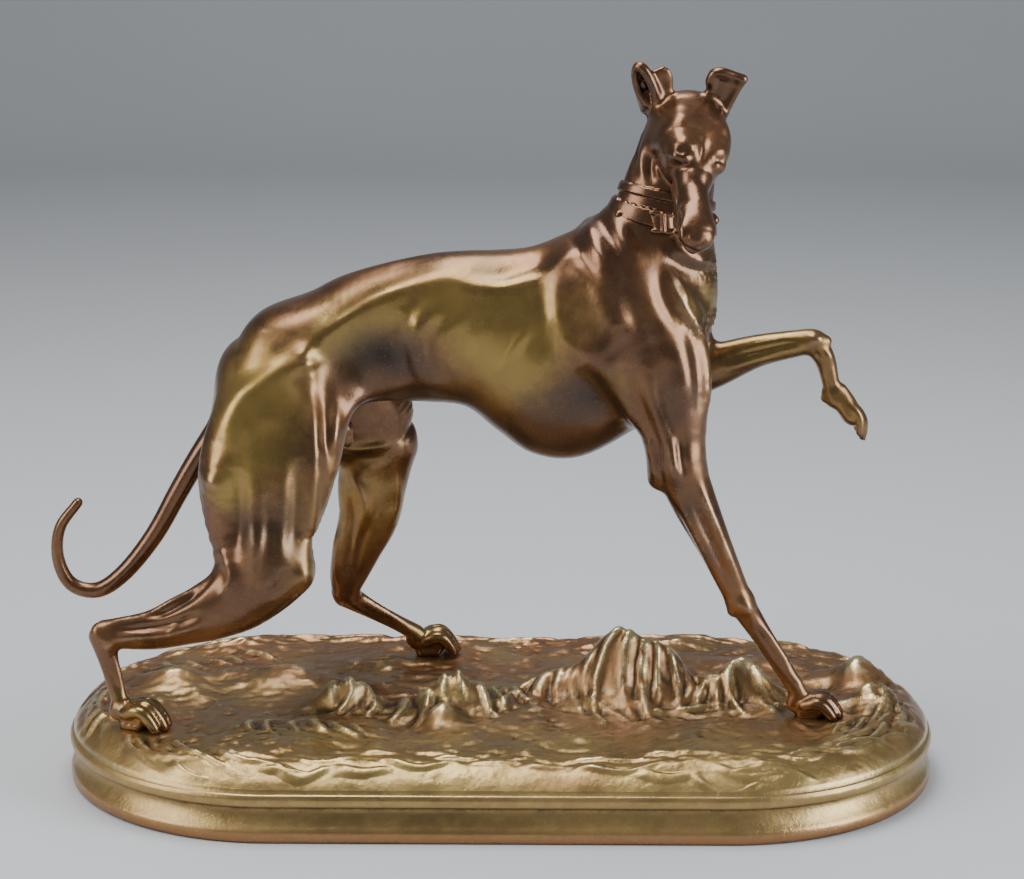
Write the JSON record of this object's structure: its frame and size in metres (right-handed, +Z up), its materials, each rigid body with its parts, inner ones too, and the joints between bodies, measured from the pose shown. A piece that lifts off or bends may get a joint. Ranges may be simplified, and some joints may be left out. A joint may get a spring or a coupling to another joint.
{
  "type": "bronze whippet sculpture",
  "caption": "Table bronze of a whippet stepping with one forepaw lifted and its head turned, standing on rough ground over a moulded oval base.",
  "frame": {"origin": "centre of the base's flat underside", "axes": "+Z up, +X the way the dog walks, -Y the side it looks to"},
  "size_m": [0.233, 0.114, 0.1873],
  "materials": {
    "dark_bronze": "satin brown patina over cast bronze, rubbed lighter on the high places",
    "light_bronze": "satin golden-brown patina over cast bronze, worn bright along the edges"
  },
  "bodies": {
    "root": {"whippet": "dark_bronze", "base": "light_bronze"}
  },
  "joints": []
}
